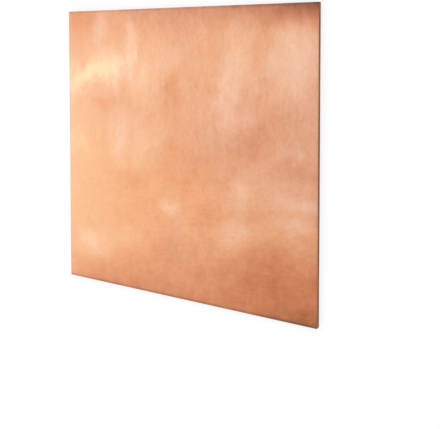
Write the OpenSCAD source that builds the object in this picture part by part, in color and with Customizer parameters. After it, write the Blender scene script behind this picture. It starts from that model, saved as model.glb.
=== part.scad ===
// Copper plate: one square piece of flat rolled stock, cut to size and deburred.
// It lies on its lower face. The origin is the middle of that face, +Z is up,
// and X and Y run along the sides. All sizes are in millimetres.

/* [Plate] */
// Length of the plate, along X
plate_l = 300; // [100:10:1000]
// Width of the plate, along Y
plate_w = 300; // [100:10:1000]
// Thickness of the plate, along Z
plate_t = 5; // [3:0.5:12]

/* [Edges] */
// Radius that deburring leaves on the long edges of both flat faces
edge_r = 0.4; // [0.2:0.1:1.2]
// Radius of the four upright corners, seen from above
corner_r = 0.5; // [0.3:0.1:5]

/* [Hidden] */

// How far a profile runs past the plate at each end, so that it cuts cleanly
overrun = 1;

$fn = 48;

// A rectangle centred on the origin with true arcs at its corners: two bars
// that cross, and a disc in each corner.
module rounded_rectangle(l, w, r) {
    square([l, w - 2 * r], center = true);
    square([l - 2 * r, w], center = true);
    for (x = [-1, 1], y = [-1, 1])
        translate([x * (l / 2 - r), y * (w / 2 - r)]) circle(r);
}

// The plate's outline from above, through its whole thickness.
module plan() {
    linear_extrude(plate_t) rounded_rectangle(plate_l, plate_w, corner_r);
}

// The plate's section across one side, run along the other. It stands on the
// lower face, and its four arcs are the eased edges.
module section(across, along) {
    translate([0, 0, plate_t / 2]) rotate([90, 0, 0])
        linear_extrude(along + 2 * overrun, center = true)
            rounded_rectangle(across, plate_t, edge_r);
}

// The whole piece: what its plan and its two sections have in common.
module plate() {
    color("#eeaf88")
        intersection() {
            plan();
            section(plate_l, plate_w);
            rotate(90) section(plate_w, plate_l);
        }
}

plate();
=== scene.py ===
"""A square plate of rolled copper, lying on a white studio floor.

The plate is one closed surface, worked out with numpy, that stands for the CAD solid and
fills its box. It has two finishes: the rolled faces, with the thin film that air and
handling leave on copper and painted highlights and shade in their colour, and the sawn
edges, which are rougher and browner, their darkness partly painted shade.
"""

import bmesh
import bpy
import numpy as np
from bpy.props import FloatProperty, FloatVectorProperty, PointerProperty
from bpy.types import Operator, Panel, PropertyGroup
from mathutils import Matrix, Vector


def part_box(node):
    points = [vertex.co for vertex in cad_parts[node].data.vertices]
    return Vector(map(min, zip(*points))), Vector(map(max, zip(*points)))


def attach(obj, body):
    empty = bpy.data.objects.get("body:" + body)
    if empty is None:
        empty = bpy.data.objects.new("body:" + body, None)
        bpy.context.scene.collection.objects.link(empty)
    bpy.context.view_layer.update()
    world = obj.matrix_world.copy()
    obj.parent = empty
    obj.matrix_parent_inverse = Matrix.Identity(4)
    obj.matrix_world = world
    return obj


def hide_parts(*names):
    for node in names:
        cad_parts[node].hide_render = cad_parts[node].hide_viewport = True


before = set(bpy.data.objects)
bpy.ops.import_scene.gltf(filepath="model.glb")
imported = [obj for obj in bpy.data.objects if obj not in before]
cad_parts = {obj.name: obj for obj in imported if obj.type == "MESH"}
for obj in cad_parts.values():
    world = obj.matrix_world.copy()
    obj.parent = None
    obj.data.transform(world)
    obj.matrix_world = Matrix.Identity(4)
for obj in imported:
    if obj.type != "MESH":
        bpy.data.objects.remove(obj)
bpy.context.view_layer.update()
PLATE_LOW, PLATE_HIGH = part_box("plate")
HALF_SIDE = (PLATE_HIGH[0] - PLATE_LOW[0]) / 2
THICKNESS = PLATE_HIGH[2] - PLATE_LOW[2]

bl_info = {
    "name": "Copper Plate",
    "version": (1, 0, 0),
    "blender": (4, 5, 0),
    "location": "3D Viewport > Sidebar > Copper Plate",
    "description": "Makes a rolled copper plate with sawn edges, and a studio to show it in",
    "category": "Object",
}

MM = 0.001


def linear(hex_colour):
    """sRGB hex, such as "C87F5A", as linear red, green and blue."""
    srgb = np.array([int(hex_colour[i:i + 2], 16) for i in (0, 2, 4)]) / 255
    return tuple(np.where(srgb <= 0.04045, srgb / 12.92, ((srgb + 0.055) / 1.055) ** 2.4))


# ---------------------------------------------------------------- what a user may change


class PlateShape(PropertyGroup):
    edge_radius: FloatProperty(
        name="Edge Radius", description="Rounding that deburring leaves along both faces",
        default=0.4 * MM, min=0.1 * MM, max=2 * MM, unit="LENGTH", precision=5)
    corner_radius: FloatProperty(
        name="Corner Radius", description="Rounding of the four upright corners",
        default=0.5 * MM, min=0.2 * MM, max=5 * MM, unit="LENGTH", precision=5)
    waviness: FloatProperty(
        name="Waviness", description="Depth of the slow hollows that rolling leaves",
        default=0.12 * MM, min=0, max=0.5 * MM, unit="LENGTH", precision=5)
    spacing: FloatProperty(
        name="Mesh Spacing", description="Distance between points of the two faces",
        default=3 * MM, min=1.5 * MM, max=20 * MM, unit="LENGTH", precision=5)


def colour_property(name, description, hex_colour):
    """A colour that a user may change, with its default given as sRGB hex."""
    return FloatVectorProperty(
        name=name, description=description, default=linear(hex_colour),
        min=0, max=1, size=3, subtype="COLOR")


class CopperFinish(PropertyGroup):
    # also the colour of the painted highlight in the golden patch by the -X side
    golden_bare_and_highlight: colour_property("Golden Bare And Highlight", "Golden copper wiped clean of its film", "FFE6B6")
    golden_thin: colour_property("Golden Thin", "Golden copper with hardly any film", "FFC896")
    golden_even: colour_property("Golden Even", "Golden copper under its usual film", "F9AE7A")
    golden_thick: colour_property("Golden Thick", "Golden copper under a thick film", "DD8A5B")
    rosy_bare: colour_property("Rosy Bare", "Rosy copper wiped clean of its film", "FFDAC4")
    rosy_thin: colour_property("Rosy Thin", "Rosy copper with hardly any film", "FDC9AC")
    rosy_even: colour_property("Rosy Even", "Rosy copper under its usual film", "EEAE8C")
    rosy_thick: colour_property("Rosy Thick", "Rosy copper under a thick film", "D38B69")
    brown: colour_property("Brown", "Copper where the film has begun to turn brown", "8C5239")
    # painted shade: the darker reflection that the eased rims catch, painted into the colour
    painted_rim_shade: colour_property("Painted Rim Shade", "The dark residue along the rims of the faces", "615E59")
    # the edge's dark colour is partly the browner cut and partly painted shade
    edge: colour_property("Edge", "The sawn edge", "834829")
    film: FloatProperty(
        name="Film", description="How thick the film is on average: 0 is bare and 1 is brown",
        default=0.32, min=0, max=1)
    gold: FloatProperty(
        name="Gold", description="The copper's hue on average: 0 is rosy and 1 is golden",
        default=0.45, min=0, max=1)
    roughness: FloatProperty(
        name="Roughness", description="How far the rolled face scatters a reflection",
        default=0.36, min=0.05, max=0.9)


class StudioSet(PropertyGroup):
    floor: colour_property("Floor", "Colour of the studio floor", "FFFFFF")
    dim_side: FloatProperty(
        name="Dim Side", description="How bright the ceiling is on its dim side, where 1 is white",
        default=0.68, min=0, max=1)
    gap: FloatProperty(
        name="Gap", description="How bright the gap between walls and ceiling is",
        default=0.7, min=0, max=1)
    key: FloatProperty(
        name="Key Light", description="Strength of the soft light that casts the shadow",
        default=0.4, min=0, max=5)
    key_spread: FloatProperty(
        name="Key Light Spread", description="How wide the key light looks from the plate",
        default=0.5, min=0, max=3, subtype="ANGLE")
    key_place: FloatVectorProperty(
        name="Key Light Place", description="Where the key light shines from, towards the plate",
        default=(0.2, 1.1, 1.2), subtype="TRANSLATION", unit="LENGTH")
    camera_place: FloatVectorProperty(
        name="Camera Place", description="Where the camera stands",
        default=(0.373, 0.105, 0.568), subtype="TRANSLATION", unit="LENGTH")
    camera_target: FloatVectorProperty(
        name="Camera Target", description="The point that the camera's axis goes through",
        default=(0.047, 0.079, 0.005), subtype="TRANSLATION", unit="LENGTH")
    lens: FloatProperty(
        name="Lens", description="Focal length on a sensor 36 mm wide",
        default=54.2, min=10, max=300)
    shift: FloatProperty(
        name="Vertical Shift", description="How far the lens is shifted up, in picture widths",
        default=-0.31, min=-1, max=1)


# ---------------------------------------------------------------- the plate's surface


def quarter_path(half, cells, corner_steps):
    """One side of the plan and the corner after it, as points P and outward directions N.

    P runs along a side of the inner square, at x = half, from y = -half to half, and then
    stays at its corner while N = (cos a, sin a) turns from +X to +Y.
    """
    along = np.linspace(-half, half, cells + 1)
    turn = np.linspace(0, np.pi / 2, corner_steps + 1)[1:]
    place = np.column_stack([np.full(along.size + turn.size, half),
                             np.append(along, np.full(turn.size, half))])
    outward = np.column_stack([np.append(np.ones(along.size), np.cos(turn)),
                               np.append(np.zeros(along.size), np.sin(turn))])
    return place, outward


def half_section(thickness, corner, edge, arc_steps, side_steps):
    """The profile that is carried round the plan, as its inset from the side and its height.

    It runs from the upper face to the lower: a short flat, a quarter circle of the edge
    radius, the upright side, another quarter circle and another flat.
    """
    turn = np.linspace(0, np.pi / 2, arc_steps + 1)
    inwards = edge * (1 - np.sin(turn))
    downwards = edge * (1 - np.cos(turn))
    side = np.linspace(thickness - edge, edge, side_steps + 1)[1:-1]
    inset = np.concatenate([[corner], inwards, 0 * side, inwards[::-1], [corner]])
    height = np.concatenate([[thickness], thickness - downwards, side, downwards[::-1], [0]])
    return inset, height


# The cosine waves that make the hollows: their length in metres and direction in radians.
WAVES = ((0.230, 0.3), (0.171, 1.9), (0.128, 1.1), (0.094, 2.6))
TOP_PHASE, UNDER_PHASE = 0.9, 2.3  # these differ so that the two faces do
UNDER_SHARE = 0.5                  # how deep the underside's hollows are beside the top's


def hollows(x, y, phase):
    """How deep the slow hollows are, from 0 to 1: the mean of the crossed cosine waves,
    raised so that none goes below 0."""
    total = 0
    for number, (length, angle) in enumerate(WAVES):
        across = x * np.cos(angle) + y * np.sin(angle)
        total = total + 0.5 + 0.5 * np.cos(2 * np.pi * across / length + phase * (number + 1))
    return total / len(WAVES)


def settle(points, thickness, waviness):
    """Gives the flat plate its waviness: a point at share s of the thickness is moved to
    share s of the way from the underside's hollows to the upper side's."""
    x, y, z = points.T
    share = z / thickness
    top = thickness - waviness * hollows(x, y, TOP_PHASE)
    under = UNDER_SHARE * waviness * hollows(x, y, UNDER_PHASE)
    return np.column_stack([x, y, under + share * (top - under)])


def grid_faces(rows, columns, start, inside_out):
    """The four-cornered faces of a grid whose points are stored row by row from start."""
    corner = start + np.arange(rows - 1)[:, None] * columns + np.arange(columns - 1)
    faces = np.stack([corner, corner + 1, corner + columns + 1, corner + columns], -1)
    faces = faces.reshape(-1, 4)
    return faces[:, ::-1] if inside_out else faces


def uv_patch(rows, columns, corner, size):
    """A grid's places on the texture: an upright rectangle from corner, of that size."""
    down, across = np.meshgrid(
        np.linspace(0, 1, rows), np.linspace(0, 1, columns), indexing="ij")
    shares = np.column_stack([across.ravel(), down.ravel()])
    return np.array(corner) + np.array(size) * shares


# The texture's layout, as shares of its side: the upper face has the largest square, the
# underside a smaller one, and the four rims are strips beside each other.
UPPER_UV = ((0.008, 0.008), (0.61, 0.61))
UNDER_UV = ((0.626, 0.626), (0.366, 0.366))
RIM_UV = (0.008, 0.626)
RIM_UV_SIZE = (0.61, 0.022)
RIM_UV_STEP = 0.03

ROLLED_FACE, SAWN_EDGE = 0, 1
ARC_STEPS = 6       # cells round an eased edge
SIDE_STEPS = 5      # cells down the upright side
CORNER_STEPS = 6    # cells round an upright corner
LEAST_CORNER = 1.1  # the least corner radius, in edge radii


def plate_grids(half_side, thickness, shape):
    """The six grids of the closed surface: two faces and four rims.

    The faces are grids of x and y on the inner square. A rim is the half section carried
    along a quarter of the plan, where a point is P + N * (corner radius - inset). Each
    comes as its points, its row count, whether it is inside out, its texture places and
    the finish of each row of faces. The corners are never sharper than the edges.
    """
    corner_radius = max(shape.corner_radius, LEAST_CORNER * shape.edge_radius)
    inner = half_side - corner_radius
    cells = round(2 * inner / shape.spacing)
    along = np.linspace(-inner, inner, cells + 1)
    y, x = np.meshgrid(along, along, indexing="ij")
    count = cells + 1
    for level, inside_out, place in ((thickness, False, UPPER_UV), (0, True, UNDER_UV)):
        points = np.column_stack([x.ravel(), y.ravel(), np.full(x.size, level)])
        yield points, count, inside_out, uv_patch(count, count, *place), [ROLLED_FACE] * cells

    place, outward = quarter_path(inner, cells, CORNER_STEPS)
    inset, height = half_section(
        thickness, corner_radius, shape.edge_radius, ARC_STEPS, SIDE_STEPS)
    reach = (corner_radius - inset)[:, None, None]
    plan = place + outward * reach
    rows = len(inset)
    eased = [ROLLED_FACE] * (1 + ARC_STEPS)
    finish = eased + [SAWN_EDGE] * SIDE_STEPS + eased
    quarter_turn = np.array([[0, 1], [-1, 0]])
    for number in range(4):
        flat = plan @ np.linalg.matrix_power(quarter_turn, number)
        level = np.broadcast_to(height[:, None, None], (*flat.shape[:2], 1))
        points = np.concatenate([flat, level], -1).reshape(-1, 3)
        strip = (RIM_UV[0], RIM_UV[1] + number * RIM_UV_STEP)
        yield points, rows, True, uv_patch(rows, len(place), strip, RIM_UV_SIZE), finish


def plate_mesh(shape):
    """The plate as one closed mesh, its grids joined where they meet."""
    points, faces, places, finishes = [], [], [], []
    start = 0
    for grid, rows, inside_out, uv, finish in plate_grids(HALF_SIDE, THICKNESS, shape):
        columns = len(grid) // rows
        grid_face = grid_faces(rows, columns, start, inside_out)
        points.append(grid)
        faces.append(grid_face)
        places.append(uv[grid_face - start].reshape(-1, 2))
        finishes.append(np.repeat(finish, columns - 1))
        start += len(grid)
    points = settle(np.vstack(points), THICKNESS, shape.waviness)
    mesh = bpy.data.meshes.new("copper_plate")
    mesh.from_pydata(points, [], np.vstack(faces))
    mesh.uv_layers.new(name="OFBake").uv.foreach_set("vector", np.vstack(places).ravel())
    mesh.polygons.foreach_set("material_index", np.concatenate(finishes))
    mesh.polygons.foreach_set("use_smooth", np.ones(len(mesh.polygons), bool))
    return mesh


def weld(mesh, distance=0.001 * MM):
    """Joins the points that two grids share, and closes the fans at the corners."""
    work = bmesh.new()
    work.from_mesh(mesh)
    bmesh.ops.remove_doubles(work, verts=work.verts, dist=distance)
    closed = all(edge.is_manifold for edge in work.edges)
    work.to_mesh(mesh)
    work.free()
    if not closed:
        raise RuntimeError("the plate's surface isn't closed")


# ---------------------------------------------------------------- materials


def node(tree, kind, settings=None, inputs=None):
    """Adds a node. settings are its own properties. inputs are its sockets, by name or
    number: another node's first output or a socket is linked, and a value is set."""
    made = tree.nodes.new(kind)
    for name, value in (settings or {}).items():
        setattr(made, name, value)
    for name, value in (inputs or {}).items():
        if isinstance(value, bpy.types.Node):
            value = value.outputs[0]
        if isinstance(value, bpy.types.NodeSocket):
            tree.links.new(value, made.inputs[name])
        else:
            made.inputs[name].default_value = value
    return made


ADD = {"operation": "ADD"}
MULTIPLY = {"operation": "MULTIPLY"}
MULTIPLY_ADD = {"operation": "MULTIPLY_ADD"}
MAXIMUM = {"operation": "MAXIMUM"}
SCALE = {"operation": "SCALE"}
DOT_PRODUCT = {"operation": "DOT_PRODUCT"}
RGBA = {"data_type": "RGBA"}
SMOOTH = {"interpolation_type": "SMOOTHSTEP"}
TEXTURE_PLACE = {"vector_type": "TEXTURE"}

# What covers the upper face is a sum of listed clouds. They stand partly for the film that
# wiping, handling and storage left, and partly for painted light and shade: the paler
# clouds paint highlights and reflections, the darker ones paint shade, and SHADING paints
# the face lighter towards -X and darker along its other sides. A row has the cloud's middle
# and its reach along both its axes in mm, its turn in degrees, the share of its reach over
# which it keeps its full depth, how much thicker (below 0, thinner) the film and painted
# shade are there, and how much more golden (below 0, rosy) the copper is.
SHADING = (
    # partly film, partly painted light towards -X and painted shade along the other sides and
    # corners
    (-185, -30, 150, 240, 0, 0, -0.20, 0.10),
    (0, -187, 340, 112, 0, 0, 0.40, -0.05),
    (140, -120, 160, 66, -6, 0.1, 0.27, 0.12),
    (150, -156, 80, 30, 0, 0, 0.13, 0.12),
    (60, 172, 270, 56, 2, 0, 0.34, -0.85),
    (160, 162, 130, 46, 0, 0.1, 0.57, -0.45),
    (-136, 146, 34, 40, 0, 0, 0.14, 0.10),
    (156, -50, 28, 120, 0, 0, 0.10, 0),
    # golden over the near left, rosy over the far right
    (-85, -52, 170, 115, 0, 0.1, 0.02, 0.34),
    (15, -36, 62, 38, 0, 0, 0.02, 0.14),
    (0, -84, 60, 40, 0, 0, 0, -0.15),
    (95, 25, 130, 90, 0, 0.2, 0.02, -0.30),
    (150, 20, 50, 180, 0, 0, 0, -0.22),
)
PATCHES = (
    # paler: the golden patch by the -X side, a painted highlight on thinner film
    (-106, 88, 64, 28, 14, 0.15, -0.20, 0.20),
    (-118, 82, 34, 16, 32, 0, -0.10, 0.25),
    (-94, 93, 26, 15, 0, 0, -0.07, 0.05),
    (-82, 76, 34, 32, 0, 0, -0.12, 0),
    (-128, 66, 30, 18, 0, 0, -0.09, 0.10),
    (-150, 70, 26, 24, 0, 0, -0.11, 0.20),
    (-146, 94, 18, 18, 0, 0, -0.08, 0.05),
    (-98, 106, 34, 10, 0, 0, -0.05, -0.05),
    (-77, 84, 13, 30, 0, 0, -0.08, 0),
    # paler: streaks along Y on the left, painted highlights on thinner film
    (-63, 110, 13, 40, 0, 0.2, -0.20, -0.20),
    (-106, 130, 18, 32, 0, 0, -0.14, -0.35),
    (-44, 80, 32, 50, 0, 0, -0.18, 0),
    (-21, 66, 10, 24, 0, 0, -0.07, 0),
    (-14, 100, 24, 24, 0, 0, -0.10, -0.10),
    (-148, 48, 14, 24, 0, 0, -0.08, 0),
    (-132, 8, 44, 30, 0, 0, -0.06, 0.15),
    (-80, 12, 22, 54, 0, 0, -0.14, -0.30),
    (-50, 6, 40, 52, 0, 0, -0.13, -0.10),
    # paler: the pale spots of the near half
    (-118, -111, 42, 26, 10, 0, -0.18, -0.10),
    (-68, -95, 46, 20, 10, 0, -0.09, 0),
    (-15, -55, 24, 11, 0, 0, -0.18, -0.10),
    (-28, -39, 24, 13, 0, 0, -0.05, 0),
    (60, -83, 30, 26, 20, 0.2, -0.13, -0.20),
    (70, -34, 21, 20, 0, 0, -0.14, -0.10),
    (132, -38, 44, 13, 3, 0, -0.12, -0.20),
    (128, -57, 30, 9, 3, 0, -0.12, -0.20),
    # paler: the pale side of the far right
    (54, 62, 18, 54, -4, 0.2, -0.14, -0.10),
    (68, 98, 30, 46, 0, 0, -0.14, -0.05),
    (70, 32, 16, 26, 0, 0, -0.06, 0),
    (126, 102, 40, 44, -25, 0.3, -0.18, -0.15),
    (122, 62, 40, 22, 0, 0, -0.07, 0.05),
    (94, 144, 22, 18, 0, 0, -0.07, 0.05),
    # darker: between the paler places of the far half
    (-126, 91, 11, 12, 0, 0, 0.10, 0),
    (-94, 50, 36, 12, 0, 0, 0.08, 0.05),
    (-60, 148, 40, 20, 0, 0, 0.01, -0.20),
    (-8, 59, 15, 42, 0, 0, 0.12, 0.05),
    (-6, 130, 34, 28, 0, 0, 0.06, -0.15),
    (-10, 4, 14, 14, 0, 0, 0.06, 0.30),
    (102, 116, 22, 34, 0, 0, 0.08, 0),
    (82, 14, 38, 24, 15, 0, 0.15, 0.10),
    (112, 38, 60, 34, 0, 0, 0.07, 0.10),
    (150, 128, 18, 52, 0, 0, 0.08, 0),
    (128, -7, 42, 16, 0, 0, 0.12, 0),
    # darker: the near half
    (-56, -29, 36, 15, 10, 0, 0.08, 0),
    (-108, -154, 70, 20, 0, 0, 0.13, -0.15),
    (-8, -98, 44, 36, 0, 0, 0.07, -0.05),
    (20, -8, 90, 50, 0, 0, 0.08, -0.10),
    (34, -62, 36, 32, 0, 0, 0.10, 0.10),
    (92, -50, 38, 24, 0, 0, 0.07, 0),
    (104, -92, 56, 26, 4, 0, 0.08, 0.05),
    (125, -155, 70, 12, 0, 0, 0.16, 0),
    (140, -142, 22, 14, 0, 0, 0.03, 0.20),
)

# The marks in the film, as noise: a grain's size along X and Y in mm, its turn in degrees,
# the noise's detail, the part of the face that has it, and how far it changes the film and
# the gold. The plate was wiped along Y on its far half and nearly along X on its near half.
# The finest real strokes are about 0.1 mm wide, and are drawn 2 mm wide so that they show.
MARKS = (
    (24, 24, 0, 3, "all", 0, 0.10),
    (6, 8, 0, 2, "all", 0, 0.12),
    (11, 16, 0, 4, "all", 0.034, 0),
    (3.5, 5, 0, 3, "all", 0.030, 0),
    (6, 24, -3, 3, "far", 0.030, 0),
    (2, 9, -10, 3, "far", 0.030, 0),
    (24, 5, 6, 3, "near", 0.027, 0),
    (9, 2, 9, 3, "near", 0.034, 0),
)
ZONE_BORDER = (-50, 30)  # from where to where along Y, in mm, near changes to far
ZONE_REST = 0.2          # how much of its marks each zone shows in the other
MARKS_SPAN = (-140, 40)  # from where to where along X, in mm, the marks grow stronger
MARKS_STRENGTH = (0.8, 1.3)  # before that span and after it
MARKS_FADE = (0.3, 0.8)  # from which thickness of the film to which they fade
MARKS_ON_THICK = 0.65    # the share of them that is left past that

GRAIN_Z = 20             # a grain's size through the plate, in mm
PATCHINESS = 0.14        # how unevenly the clouds lie over their reach
PATCH_GRAIN = (14, 20, GRAIN_Z)
FACES_APART = 40         # heights are stretched by this, so that the two faces aren't alike
# The outlines of clouds and strokes wander. Each row is the size of the noise that moves
# them and how far it does, both in mm.
DRIFT = (45, 6.3)
SMEARS = ((15, 3.4), (4, 1.4))
STROKE_BENDS = (14, 4)

# The painted shade along the rims, for the darker reflection that the eased rims catch, by
# the axis that crosses them: the share of the copper that it hides, and how far from the
# side, in mm, it begins and is full.
PAINTED_RIM_SHADE = (("X", 0.12, 1.8, 0.5), ("Y", 0.28, 3.4, 1.5))
RIM_SHADE_UNEVENNESS = 0.5
RIM_SHADE_GRAIN = (9, 9, GRAIN_Z)
RIM_SHADE_SLANT = 0.6         # how much more there is at the +X -Y corner, and less at the other

UNDERSIDE_CLOUDS = 0.4   # share of the clouds' depth that shows on the side it lay on
UNDERSIDE_FILM = 0.08    # and how much thicker the film is there

# Rolling leaves lines along Y about 0.05 mm apart, drawn 2.4 mm apart so that they show.
ROLLING_LINES = (2.4, 70, GRAIN_Z)
LINE_DEPTH = 0.02 * MM
LINE_ROUGHNESS = 0.02    # how far the lines change the roughness
FILM_ROUGHNESS = 0.12    # and how much a brown film adds to it


def grain(tree, place, size, turn=0, detail=3):
    """Noise of mean 0 that seldom passes 1, with grains of that size in mm, turned about Z
    by that many degrees."""
    stretched = node(tree, "ShaderNodeMapping", TEXTURE_PLACE, {
        "Vector": place, "Rotation": (0, 0, np.radians(turn)), "Scale": size})
    return node(tree, "ShaderNodeTexNoise", {"normalize": False}, {
        "Vector": stretched, "Scale": 1, "Detail": detail, "Roughness": 0.55})


def wander(tree, place, size, distance):
    """place, moved by noise of that grain size and by about that distance, both in mm."""
    noise = node(tree, "ShaderNodeTexNoise", {"normalize": False}, {
        "Vector": place, "Scale": 1 / size, "Detail": 2})
    return node(tree, "ShaderNodeVectorMath", MULTIPLY_ADD, {
        0: noise.outputs["Color"], 1: (distance,) * 3, 2: place})


def place_in_mm(tree):
    """Object coordinates in millimetres."""
    coordinates = node(tree, "ShaderNodeTexCoord").outputs["Object"]
    return node(tree, "ShaderNodeVectorMath", SCALE, {0: coordinates, "Scale": 1 / MM})


def clouds(tree, place, table):
    """The sum of a table's clouds, as a vector of their film and painted shade and their gold.
    Each is full over its core and fades smoothly to nothing at its reach."""
    flat = node(tree, "ShaderNodeVectorMath", MULTIPLY, {0: place, 1: (1, 1, 0)})
    total = (0, 0, 0)
    for x, y, reach_x, reach_y, turn, core, film, gold in table:
        centred = node(tree, "ShaderNodeMapping", TEXTURE_PLACE, {
            "Vector": flat, "Location": (x, y, 0), "Rotation": (0, 0, np.radians(turn)),
            "Scale": (reach_x, reach_y, 1)})
        distance = node(tree, "ShaderNodeVectorMath", {"operation": "LENGTH"}, {0: centred})
        depth = node(tree, "ShaderNodeMapRange", SMOOTH, {
            "Value": distance.outputs["Value"], "From Min": core, "From Max": 1,
            "To Min": 1, "To Max": 0})
        total = node(tree, "ShaderNodeVectorMath", MULTIPLY_ADD, {
            0: depth, 1: (film, gold, 0), 2: total})
    return total


def wiping_marks(tree, place, axes):
    """The sum of the marks, as a vector of what they add to the film and to the gold."""
    zones = {"all": 1.0}
    for zone, levels in (("far", (ZONE_REST, 1)), ("near", (1, ZONE_REST))):
        zones[zone] = node(tree, "ShaderNodeMapRange", SMOOTH, {
            "Value": axes.outputs["Y"], "From Min": ZONE_BORDER[0], "From Max": ZONE_BORDER[1],
            "To Min": levels[0], "To Max": levels[1]})
    total = (0, 0, 0)
    for size_x, size_y, turn, detail, zone, film, gold in MARKS:
        noise = grain(tree, place, (size_x, size_y, GRAIN_Z), turn, detail)
        shown = node(tree, "ShaderNodeMath", MULTIPLY, {0: noise, 1: zones[zone]})
        total = node(tree, "ShaderNodeVectorMath", MULTIPLY_ADD, {
            0: shown, 1: (film, gold, 0), 2: total})
    return total


def painted_rim_shade(tree, place):
    """The share of the copper that painted shade hides along the rims, for the darker
    reflection that the eased rims catch. It goes by |x| and |y|, comes and goes along the
    rims, and grows with x - y."""
    axes = node(tree, "ShaderNodeSeparateXYZ", inputs={0: place})
    side = HALF_SIDE / MM
    total = 0
    for axis, share, start, full in PAINTED_RIM_SHADE:
        away = node(tree, "ShaderNodeMath", {"operation": "ABSOLUTE"}, {0: axes.outputs[axis]})
        depth = node(tree, "ShaderNodeMapRange", SMOOTH, {
            "Value": away, "From Min": side - start, "From Max": side - full,
            "To Min": 0, "To Max": share})
        total = node(tree, "ShaderNodeMath", MAXIMUM, {0: depth, 1: total})
    rise = RIM_SHADE_SLANT / 2 / side
    slant = node(tree, "ShaderNodeVectorMath", DOT_PRODUCT, {0: place, 1: (rise, -rise, 0)})
    level = node(tree, "ShaderNodeMath", ADD, {0: slant.outputs["Value"], 1: 1})
    uneven = node(tree, "ShaderNodeMath", MULTIPLY_ADD, {
        0: grain(tree, place, RIM_SHADE_GRAIN), 1: RIM_SHADE_UNEVENNESS, 2: level})
    return node(tree, "ShaderNodeMath", MULTIPLY, {0: total, 1: uneven})


def cover(tree, place, finish):
    """A node whose X is the film's thickness with the painted light and shade, and whose Y is
    the copper's gold, anywhere on the plate."""
    axes = node(tree, "ShaderNodeSeparateXYZ", inputs={0: place})
    apart = node(tree, "ShaderNodeVectorMath", MULTIPLY, {0: place, 1: (1, 1, FACES_APART)})
    drifting = wander(tree, apart, *DRIFT)
    smeared = drifting
    for smear in SMEARS:
        smeared = wander(tree, smeared, *smear)
    stroked = wander(tree, apart, *STROKE_BENDS)

    # the clouds lie unevenly, and show less on the underside
    sum_of_clouds = node(tree, "ShaderNodeVectorMath", ADD, {
        0: clouds(tree, drifting, SHADING), 1: clouds(tree, smeared, PATCHES)})
    patchy = node(tree, "ShaderNodeMath", MULTIPLY_ADD, {
        0: grain(tree, apart, PATCH_GRAIN, detail=4), 1: PATCHINESS, 2: 1})
    shown = node(tree, "ShaderNodeMapRange", inputs={
        "Value": axes.outputs["Z"], "From Max": THICKNESS / MM,
        "To Min": UNDERSIDE_CLOUDS, "To Max": 1})
    share = node(tree, "ShaderNodeMath", MULTIPLY, {0: patchy, 1: shown})
    level = node(tree, "ShaderNodeMapRange", inputs={
        "Value": axes.outputs["Z"], "From Max": THICKNESS / MM,
        "To Min": finish.film + UNDERSIDE_FILM, "To Max": finish.film})
    average = node(tree, "ShaderNodeCombineXYZ", inputs={"X": level, "Y": finish.gold})
    broad = node(tree, "ShaderNodeVectorMath", MULTIPLY_ADD, {
        0: sum_of_clouds, 1: share, 2: average})

    along = node(tree, "ShaderNodeMapRange", SMOOTH, {
        "Value": axes.outputs["X"], "From Min": MARKS_SPAN[0], "From Max": MARKS_SPAN[1],
        "To Min": MARKS_STRENGTH[0], "To Max": MARKS_STRENGTH[1]})
    left_over = node(tree, "ShaderNodeMapRange", SMOOTH, {
        "Value": node(tree, "ShaderNodeSeparateXYZ", inputs={0: broad}),
        "From Min": MARKS_FADE[0], "From Max": MARKS_FADE[1],
        "To Min": 1, "To Max": MARKS_ON_THICK})
    strength = node(tree, "ShaderNodeMath", MULTIPLY, {0: along, 1: left_over})
    marked = node(tree, "ShaderNodeVectorMath", MULTIPLY_ADD, {
        0: wiping_marks(tree, stroked, axes), 1: strength, 2: broad})
    return node(tree, "ShaderNodeSeparateXYZ", inputs={0: marked})


FILM_STOPS = (0.0, 0.16, 0.40, 0.68, 1.0)  # bare, thin, even, thick and brown


def colour_under_film(tree, film, colours):
    """The copper's colour by its film and the painted light and shade in it, with one colour
    for each of the film's stops.
    """
    made = node(tree, "ShaderNodeValToRGB", inputs={0: film})
    elements = made.color_ramp.elements
    for position in FILM_STOPS[1:-1]:
        elements.new(position)
    for element, position, colour in zip(elements, FILM_STOPS, colours):
        element.position = position
        element.color = (*colour, 1)
    return made


def new_metal(name):
    """A metal with nothing set yet: the material, its tree and its shader."""
    material = bpy.data.materials.new(name)
    material.use_nodes = True
    shader = material.node_tree.nodes["Principled BSDF"]
    shader.inputs["Metallic"].default_value = 1
    return material, material.node_tree, shader


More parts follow.
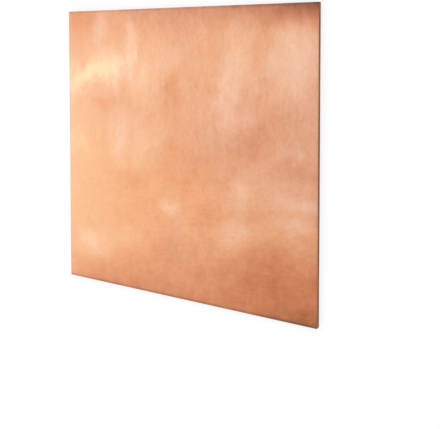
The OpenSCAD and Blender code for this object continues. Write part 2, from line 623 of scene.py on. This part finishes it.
def rolled_copper(finish):
    """Copper, cold rolled and wiped. Bare it is a pale peach metal. Its film, with painted
    highlights and shade, takes it through orange to brown, golden in some places and rosy in
    others, in soft clouds with wiping marks, and dulls it a little. Painted shade greys its
    rims, for the darker reflection that the eased rims catch."""
    material, tree, shader = new_metal("rolled_copper")
    place = place_in_mm(tree)
    covered = cover(tree, place, finish)
    # film carries the painted light and shade as well as the film itself
    film, gold = covered.outputs["X"], covered.outputs["Y"]
    rosy = colour_under_film(tree, film, (
        finish.rosy_bare, finish.rosy_thin, finish.rosy_even, finish.rosy_thick, finish.brown))
    golden = colour_under_film(tree, film, (
        finish.golden_bare_and_highlight, finish.golden_thin, finish.golden_even, finish.golden_thick,
        finish.brown))
    # a Mix node's colours are its sockets 6 and 7, and the mixed colour is its output 2
    clean = node(tree, "ShaderNodeMix", RGBA, {0: gold, 6: rosy, 7: golden})
    # painted shade along the rims darkens the colour here
    colour = node(tree, "ShaderNodeMix", RGBA, {
        0: painted_rim_shade(tree, place), 6: clean.outputs[2], 7: (*finish.painted_rim_shade, 1)})
    tree.links.new(colour.outputs[2], shader.inputs["Base Color"])

    lines = grain(tree, place, ROLLING_LINES)
    dulled = node(tree, "ShaderNodeMath", MULTIPLY_ADD, {
        0: film, 1: FILM_ROUGHNESS, 2: finish.roughness})
    rough = node(tree, "ShaderNodeMath", MULTIPLY_ADD, {0: lines, 1: LINE_ROUGHNESS, 2: dulled})
    tree.links.new(rough.outputs[0], shader.inputs["Roughness"])
    bump = node(tree, "ShaderNodeBump", inputs={"Distance": LINE_DEPTH, "Height": lines})
    tree.links.new(bump.outputs[0], shader.inputs["Normal"])
    return material


# The sawn edge's marks and stains, as grains along the side, across it and up it in mm. A
# real tooth mark is about 0.5 mm wide, and is drawn 1.4 mm wide so that it shows.
TOOTH_MARKS = (1.4, 1, 14)
TOOTH_TONE = 0.28        # how far the tooth marks change the edge's tone
TOOTH_ROUGHNESS = 0.06   # and its roughness
TOOTH_DEPTH = 0.08 * MM
EDGE_STAINS = (26, 1, 9)
STAIN_TONE = 0.4         # how far the stains change the tone
EDGE_ROUGHNESS = 0.42


def sawn_copper(finish):
    """Copper, sawn and deburred. The cut is rougher than the face and browner, and its dark
    colour is partly painted shade, with upright marks where each tooth passed and slow stains."""
    material, tree, shader = new_metal("sawn_copper")
    place = place_in_mm(tree)
    # x + y runs along every one of the four sides
    along = node(tree, "ShaderNodeVectorMath", DOT_PRODUCT, {0: place, 1: (1, 1, 0)})
    up = node(tree, "ShaderNodeVectorMath", DOT_PRODUCT, {0: place, 1: (0, 0, 1)})
    side = node(tree, "ShaderNodeCombineXYZ", inputs={
        "X": along.outputs["Value"], "Z": up.outputs["Value"]})
    teeth = grain(tree, side, TOOTH_MARKS)
    stains = grain(tree, side, EDGE_STAINS)
    stained = node(tree, "ShaderNodeMath", MULTIPLY_ADD, {0: stains, 1: STAIN_TONE, 2: 1})
    tone = node(tree, "ShaderNodeMath", MULTIPLY_ADD, {0: teeth, 1: TOOTH_TONE, 2: stained})
    colour = node(tree, "ShaderNodeVectorMath", SCALE, {0: finish.edge, "Scale": tone})
    tree.links.new(colour.outputs[0], shader.inputs["Base Color"])
    rough = node(tree, "ShaderNodeMath", MULTIPLY_ADD, {
        0: teeth, 1: TOOTH_ROUGHNESS, 2: EDGE_ROUGHNESS})
    tree.links.new(rough.outputs[0], shader.inputs["Roughness"])
    bump = node(tree, "ShaderNodeBump", inputs={"Distance": TOOTH_DEPTH, "Height": teeth})
    tree.links.new(bump.outputs[0], shader.inputs["Normal"])
    return material


# ---------------------------------------------------------------- the studio

FLOOR_HALF = 6.0     # metres from the plate to the floor's sides
FLOOR_MATT = "F9F9F9"
FLOOR_GLOW = 1.13    # how bright the camera and the metal see the floor's own colour
FLOOR_SHARE = 0.62   # how much of what they see is that, and not the matt paper
# The dome's levels change over these spans of the direction looked in: the height at which
# the walls end, the height at which the ceiling begins, and the ceiling's X.
WALL_TOP = (0.06, 0.2)
CEILING_START = (0.2, 0.45)
CEILING_SIDES = (-0.7, -0.1)
CEILING_LEVEL = 1.09
SENSOR_WIDTH = 36    # the camera's, in mm


def studio_floor(studio):
    """White floor paper: the camera and the metal see it near white with the plate's
    shadow on it, and it lights the plate as plain matt paper."""
    mesh = bpy.data.meshes.new("studio_floor")
    square = ((-1, -1, 0), (1, -1, 0), (1, 1, 0), (-1, 1, 0))
    mesh.from_pydata(FLOOR_HALF * np.array(square), [], [(0, 1, 2, 3)])
    material = bpy.data.materials.new("floor_paper")
    material.use_nodes = True
    tree = material.node_tree
    tree.nodes.clear()
    matt = node(tree, "ShaderNodeBsdfDiffuse", inputs={"Color": (*linear(FLOOR_MATT), 1)})
    white = node(tree, "ShaderNodeEmission", inputs={
        "Color": (*studio.floor, 1), "Strength": FLOOR_GLOW})
    path = node(tree, "ShaderNodeLightPath")
    seen = 0
    for ray in ("Is Camera Ray", "Is Glossy Ray", "Is Transmission Ray"):
        seen = node(tree, "ShaderNodeMath", MAXIMUM, {0: seen, 1: path.outputs[ray]})
    share = node(tree, "ShaderNodeMath", MULTIPLY, {0: seen, 1: FLOOR_SHARE})
    both = node(tree, "ShaderNodeMixShader", inputs={0: share, 1: matt, 2: white})
    node(tree, "ShaderNodeOutputMaterial", inputs={"Surface": both})
    mesh.materials.append(material)
    return bpy.data.objects.new("studio_floor", mesh)


def studio_dome(studio):
    """White walls up to just above the horizon, a grey gap over them and a white ceiling
    that is dimmer towards +X."""
    world = bpy.data.worlds.new("studio_dome")
    world.use_nodes = True
    tree = world.node_tree
    tree.nodes.clear()
    direction = node(tree, "ShaderNodeTexCoord").outputs["Generated"]
    axes = node(tree, "ShaderNodeSeparateXYZ", inputs={0: direction})
    spans = (
        ("Z", WALL_TOP, (1, studio.gap)),
        ("Z", CEILING_START, (0, 1)),
        ("X", CEILING_SIDES, (CEILING_LEVEL, studio.dim_side)),
    )
    walls, height, ceiling = (
        node(tree, "ShaderNodeMapRange", SMOOTH, {
            "Value": axes.outputs[axis], "From Min": span[0], "From Max": span[1],
            "To Min": levels[0], "To Max": levels[1]})
        for axis, span, levels in spans)
    level = node(tree, "ShaderNodeMix", inputs={0: height, 2: walls, 3: ceiling})
    light = node(tree, "ShaderNodeBackground", inputs={"Color": (1, 1, 1, 1), "Strength": level})
    node(tree, "ShaderNodeOutputWorld", inputs={"Surface": light})
    return world


def aim(obj, place, target, up):
    """Stands obj at place and points its -Z axis at target, its +Y axis as near to up
    as that leaves it."""
    back = (Vector(place) - Vector(target)).normalized()
    right = Vector(up).cross(back).normalized()
    turn = Matrix((right, back.cross(right), back)).transposed()
    obj.matrix_world = Matrix.Translation(place) @ turn.to_4x4()


def key_light(studio):
    """The soft light that casts the plate's shadow."""
    lamp = bpy.data.lights.new("key_light", "SUN")
    lamp.energy = studio.key
    lamp.angle = studio.key_spread
    light = bpy.data.objects.new("key_light", lamp)
    aim(light, studio.key_place, (0, 0, 0), (0, 0, 1))
    return light


def studio_camera(studio):
    """The camera, looking down on the plate with +Y up in its picture."""
    camera = bpy.data.objects.new("camera", bpy.data.cameras.new("camera"))
    camera.data.sensor_width = SENSOR_WIDTH
    camera.data.lens = studio.lens
    camera.data.shift_y = studio.shift
    camera.data.clip_start = 10 * MM
    aim(camera, studio.camera_place, studio.camera_target, (0, 1, 0))
    return camera


# ---------------------------------------------------------------- operators


class COPPER_OT_plate(Operator):
    """Make the copper plate in place of its CAD solid"""

    bl_idname = "copper.plate"
    bl_label = "Make the Plate"

    def execute(self, context):
        scene = context.scene
        mesh = plate_mesh(scene.plate_shape)
        weld(mesh)
        mesh.materials.append(rolled_copper(scene.copper_finish))
        mesh.materials.append(sawn_copper(scene.copper_finish))
        piece = bpy.data.objects.new("copper_plate", mesh)
        scene.collection.objects.link(piece)
        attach(piece, "root")
        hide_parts("plate")
        return {"FINISHED"}


class COPPER_OT_studio(Operator):
    """Make the floor, the light and the camera"""

    bl_idname = "copper.studio"
    bl_label = "Make the Studio"

    def execute(self, context):
        scene = context.scene
        studio = scene.studio_set
        floor, light, camera = studio_floor(studio), key_light(studio), studio_camera(studio)
        for thing in (floor, light, camera):
            scene.collection.objects.link(thing)
        scene.world = studio_dome(studio)
        scene.camera = camera
        scene.view_settings.view_transform = "Standard"
        return {"FINISHED"}


class COPPER_PT_sidebar(Panel):
    bl_idname = "COPPER_PT_sidebar"
    bl_label = "Copper Plate"
    bl_space_type = "VIEW_3D"
    bl_region_type = "UI"
    bl_category = "Copper Plate"

    def draw(self, context):
        parts = (
            (COPPER_OT_plate, ("plate_shape", "copper_finish")),
            (COPPER_OT_studio, ("studio_set",)),
        )
        for operator, groups in parts:
            box = self.layout.box()
            for group in groups:
                for name in SETTINGS[group].__annotations__:
                    box.prop(getattr(context.scene, group), name)
            box.operator(operator.bl_idname)


SETTINGS = {"plate_shape": PlateShape, "copper_finish": CopperFinish, "studio_set": StudioSet}
CLASSES = (*SETTINGS.values(), COPPER_OT_plate, COPPER_OT_studio, COPPER_PT_sidebar)


def register():
    for cls in CLASSES:
        bpy.utils.register_class(cls)
    for name, group in SETTINGS.items():
        setattr(bpy.types.Scene, name, PointerProperty(type=group))


def unregister():
    for name in SETTINGS:
        delattr(bpy.types.Scene, name)
    for cls in reversed(CLASSES):
        bpy.utils.unregister_class(cls)


def main():
    """Makes everything."""
    register()
    bpy.ops.copper.plate()
    bpy.ops.copper.studio()


if __name__ == "__main__":
    main()
